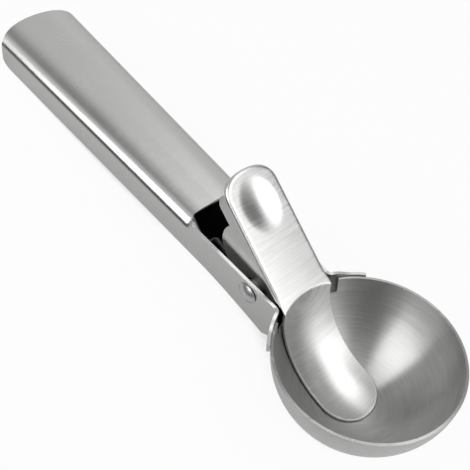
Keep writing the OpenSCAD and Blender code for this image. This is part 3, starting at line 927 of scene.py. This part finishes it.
class SCOOP_OT_bracket(bpy.types.Operator):
    """Bracket under the pad, whose two ears swing on the rivet"""

    bl_idname = "scoop.bracket"
    bl_label = "Lever bracket"

    def execute(self, context):
        # Plain rolled sheet, left as it came from the press
        rolled = steel("rolled_steel_bracket", context.scene.scoop_finishes.steel, 0.34,
                       grain=(0.002, 0.002), spread=0.03, depth=1.5e-6)
        dress(frame["nodes"]["lever_bracket"], rolled)
        return {"FINISHED"}


class SCOOP_OT_pivot(bpy.types.Operator):
    """Rivet with domed heads, and the sleeve and spacers on it"""

    bl_idname = "scoop.pivot"
    bl_label = "Pivot"

    def execute(self, context):
        scene, finish = context.scene, context.scene.scoop_finishes
        rivet = sheet_piece(scene, "rivet", [rivet_shell(scene)])
        # Cold-headed rivet: even, without brush lines, a little duller than the satin sheet
        headed = steel("headed_steel_rivet", finish.steel, 0.3, grain=(0.001, 0.001),
                       spread=0.02, depth=1e-6)
        finish_piece(rivet, "handle_body", "rivet_steel", headed)
        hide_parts("pivot_rivet")
        # Turned on a lathe; their dark colour is painted shade, for their place between the channel's walls
        turned_steel = steel("turned_steel_sleeve", finish.inside, 0.35, grain=(0.0004, 0.0004),
                             spread=0.04, depth=2e-6)
        for name in ("pivot_sleeve", "side_spacers"):
            dress(frame["nodes"][name], turned_steel)
        return {"FINISHED"}


class SCOOP_OT_spring(bpy.types.Operator):
    """Double torsion spring of one wire, with its bridge under the lever"""

    bl_idname = "scoop.spring"
    bl_label = "Return spring"

    def execute(self, context):
        scene = context.scene
        spring, finish = scene.scoop_spring, scene.scoop_finishes
        wire = sheet_piece(scene, "spring_wire",
                           [tube(spring_path(scene), spring.wire / 2, 14)], closed=True)
        # Drawn spring wire with a faint mottle from the die; its colour, darker than the sheet, is painted shade
        # so that the wire sinks into the shadow inside the channel
        dress(wire, steel("drawn_spring_wire", finish.wire, 0.3, grain=(0.0008, 0.0008),
                          spread=0.04, depth=1.5e-6))
        # The upward direction over the pivot, square to its line to the cross legs
        pivot = np.array(JOINT["pos_m"])
        leg = rim_to_part(handle_to_rim(np.array([-spring.leg_reach, 0.0, -spring.leg_depth]),
                                        scene.scoop_handle), scene) - pivot
        up = np.array([-leg[2], 0.0, leg[0]]) / np.linalg.norm(leg)
        up = up if up[2] > 0 else -up
        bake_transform(wire)
        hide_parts("return_spring")
        return {"FINISHED"}


# --- studio ---

# Soft boxes: direction from the scoop, and size. The pad mirrors the bowl lamp; the near
# shoulder and the bowl's far side mirror the side lamp
LAMPS = {"bowl_lamp": ((0.74, 0.155, 0.65), (0.66, 0.9)),
         "side_lamp": ((-0.24, -0.79, 0.56), (0.76, 0.64)),
         "top_lamp": ((-0.06, 0.35, 0.93), (0.6, 0.45))}
LAMP_DISTANCE = 0.9
LAMP_TARGET = Vector((0.02, 0.0, 0.02))

# Dark gaps in the room that the metal mirrors: high over the rear end, beyond the far side, on
# the near side by the bowl, and low on the near side by the rear end. Each has a direction, the
# cosines of the angles to its edge and to its core, and the level in its core
GAPS = (((-0.63, 0.1, 0.77), 0.93, 0.995, 0.25),
        ((0.314, 0.778, 0.545), 0.89, 0.97, 0.05),
        ((0.42, -0.78, 0.46), 0.8, 0.98, 0.35),
        ((-0.55, -0.83, 0.02), 0.86, 0.975, 0.08))

CAMERA_PLACE = Vector((0.089777, -0.12111, 0.226186))
CAMERA_BACK = Vector((0.29361, -0.47711, 0.82835))
CAMERA_RIGHT = Vector((0.63455, 0.7454, 0.20444))


def lay_floor(scene):
    """A wide level sheet just under the scoop, nearly white to the camera, with painted shade under the slot and
    close under the scoop.
    """
    half, below = 3.0, 0.0002
    mesh = bpy.data.meshes.new("floor")
    mesh.from_pydata([(-half, -half, 0), (half, -half, 0), (half, half, 0), (-half, half, 0)],
                     [], [(0, 1, 2, 3)])
    floor = placed(scene, "floor", mesh)
    floor.location.z = -below
    material = bpy.data.materials.new("studio_paper")
    mesh.materials.append(material)
    tree = bare_tree(material)
    path = node(tree, "LightPath").outputs
    paper = node(tree, "BsdfDiffuse", {"Color": linear(scene.scoop_finishes.floor)})
    white = node(tree, "Emission", {"Color": WHITE, "Strength": 1.0})
    # To the camera a twentieth is paper, with its shadows, and the rest white; to the metal
    # four fifths are paper
    seen = node(tree, "Math", {0: path["Is Camera Ray"], 1: 0.95}, operation="MULTIPLY")
    seen = node(tree, "Math", {0: path["Is Glossy Ray"], 1: 0.2, 2: seen},
                operation="MULTIPLY_ADD")
    look = node(tree, "MixShader", {0: seen, 1: paper, 2: white})
    # The metal sees the lit part of the paper end, as a dark line under the near shoulder
    unlit = oval(tree, middle=(0.05, 0.25), half=(0.45, 0.3), degrees=0.0, clear=0.97, full=1.07,
                 most=path["Is Glossy Ray"])
    dim = node(tree, "Emission", {"Color": (0.05, 0.05, 0.05, 1)})
    look = node(tree, "MixShader", {0: unlit, 1: look, 2: dim})
    # Painted shade: a black oval on the floor under the slot, so that the slot shows black, and a painted contact
    # shade wherever ambient occlusion finds the floor covered close under the scoop
    painted_slot_shade = oval(tree, middle=(0.018, 0.005), half=(0.034, 0.0085), degrees=-8.0,
                      clear=1.15, full=0.9)
    cover = node(tree, "AmbientOcclusion", {"Distance": 0.04}, samples=16)
    painted_contact_shade = node(tree, "MapRange", {
        "Value": cover.outputs["AO"], "From Min": 0.4, "From Max": 0.1,
        "To Min": 0.0, "To Max": 1.0}, interpolation_type="SMOOTHSTEP")
    shade = node(tree, "Math", {0: painted_slot_shade, 1: painted_contact_shade}, operation="MAXIMUM")
    # Painted shade: near-black paper, mixed in by the oval under the slot and by the contact shade
    painted_shade_black = node(tree, "BsdfDiffuse", {"Color": (0.004, 0.004, 0.004, 1)})
    look = node(tree, "MixShader", {0: shade, 1: look, 2: painted_shade_black})
    node(tree, "OutputMaterial", {"Surface": look})


def oval(tree, middle, half, degrees, clear, full, most=1.0):
    """An oval on the floor, turned by degrees, whose value goes from 0 at the share clear of
    its half lengths to most at the share full of them."""
    place = node(tree, "Mapping", {
        "Vector": node(tree, "TexCoord").outputs["Object"],
        "Location": (*middle, 0.0), "Rotation": (0.0, 0.0, math.radians(degrees)),
        "Scale": (*half, 1.0)}, vector_type="TEXTURE")
    reach = node(tree, "VectorMath", {0: place}, operation="LENGTH")
    return node(tree, "MapRange", {
        "Value": reach, "From Min": clear, "From Max": full, "To Min": 0.0, "To Max": most},
        interpolation_type="SMOOTHSTEP")


def set_room(scene, studio):
    """White to the camera, and to the metal a plain grey room with dark gaps."""
    scene.world = bpy.data.worlds.new("studio_room")
    tree = bare_tree(scene.world)
    path = node(tree, "LightPath").outputs
    heading = node(tree, "TexCoord").outputs["Generated"]
    level = studio.sky
    for direction, edge, core, dark in GAPS:
        lean = node(tree, "VectorMath", {
            0: heading, 1: Vector(direction).normalized()}, operation="DOT_PRODUCT")
        gap = node(tree, "MapRange", {
            "Value": lean, "From Min": edge, "From Max": core,
            "To Min": 1.0, "To Max": dark}, interpolation_type="SMOOTHSTEP")
        level = node(tree, "Math", {0: level, 1: gap}, operation="MULTIPLY")
    level = node(tree, "Mix", {"Factor": path["Is Glossy Ray"], "A": studio.room, "B": level})
    room = node(tree, "Background", {"Color": WHITE, "Strength": level})
    white = node(tree, "Background", {"Color": WHITE, "Strength": 1.0})
    look = node(tree, "MixShader", {0: path["Is Camera Ray"], 1: room, 2: white})
    node(tree, "OutputWorld", {"Surface": look})


def hang_lamp(scene, name, away, size, radiance):
    """A soft box facing the scoop; its power is radiance times pi times its area."""
    data = given(bpy.data.lights.new(name, "AREA"), shape="RECTANGLE", size=size[0],
                 size_y=size[1], energy=radiance * math.pi * size[0] * size[1])
    place = Matrix.Translation(away * LAMP_DISTANCE + LAMP_TARGET)
    placed(scene, name, data).matrix_world = (
        place @ away.to_track_quat("Z", "Y").to_matrix().to_4x4())


def place_camera(scene):
    """The camera at its place, turned by the directions to its back and its right."""
    data = given(bpy.data.cameras.new("camera"), lens=61.95, sensor_width=36.0,
                 clip_start=0.01, clip_end=20.0)
    back = CAMERA_BACK.normalized()
    right = (CAMERA_RIGHT - CAMERA_RIGHT.dot(back) * back).normalized()
    turn = Matrix((right, back.cross(right), back)).transposed().to_4x4()
    scene.camera = placed(scene, "camera", data)
    scene.camera.matrix_world = Matrix.Translation(CAMERA_PLACE) @ turn


class SCOOP_OT_studio(bpy.types.Operator):
    """White floor, soft boxes, the room's light and the camera"""

    bl_idname = "scoop.studio"
    bl_label = "Studio"

    def execute(self, context):
        scene = context.scene
        studio = scene.scoop_studio
        scene.view_settings.view_transform = "Standard"
        lay_floor(scene)
        set_room(scene, studio)
        for name, (direction, size) in LAMPS.items():
            hang_lamp(scene, name, Vector(direction).normalized(), size, getattr(studio, name))
        place_camera(scene)
        return {"FINISHED"}


class SCOOP_PT_panel(bpy.types.Panel):
    """Lists the scoop's pieces in the order in which they are built"""

    bl_label = "Ice Cream Scoop"
    bl_idname = "SCOOP_PT_panel"
    bl_space_type = "VIEW_3D"
    bl_region_type = "UI"
    bl_category = "Scoop"

    def draw(self, context):
        for operator in OPERATORS:
            self.layout.operator(operator.bl_idname)
        for group in GROUPS:
            settings = getattr(context.scene, group)
            box = self.layout.box()
            box.label(text=group.replace("_", " ").capitalize())
            for name in type(settings).__annotations__:
                box.prop(settings, name)


OPERATORS = (SCOOP_OT_handle, SCOOP_OT_bowl, SCOOP_OT_lever, SCOOP_OT_bracket, SCOOP_OT_pivot,
             SCOOP_OT_spring, SCOOP_OT_studio)
GROUPS = {"scoop_handle": HandleSizes, "scoop_bowl": BowlSizes, "scoop_lever": LeverSizes,
          "scoop_pivot": PivotSizes, "scoop_spring": SpringSizes,
          "scoop_finishes": ScoopFinishes, "scoop_studio": StudioSettings}
CLASSES = (*GROUPS.values(), *OPERATORS, SCOOP_PT_panel)


def register():
    for kind in CLASSES:
        bpy.utils.register_class(kind)
    for name, kind in GROUPS.items():
        setattr(bpy.types.Scene, name, PointerProperty(type=kind))


def unregister():
    for name in GROUPS:
        delattr(bpy.types.Scene, name)
    for kind in reversed(CLASSES):
        bpy.utils.unregister_class(kind)


def main():
    """Builds the whole scene."""
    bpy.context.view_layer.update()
    register()
    for step in ("handle", "bowl", "lever", "bracket", "pivot", "spring", "studio"):
        getattr(bpy.ops.scoop, step)()


if __name__ == "__main__":
    main()
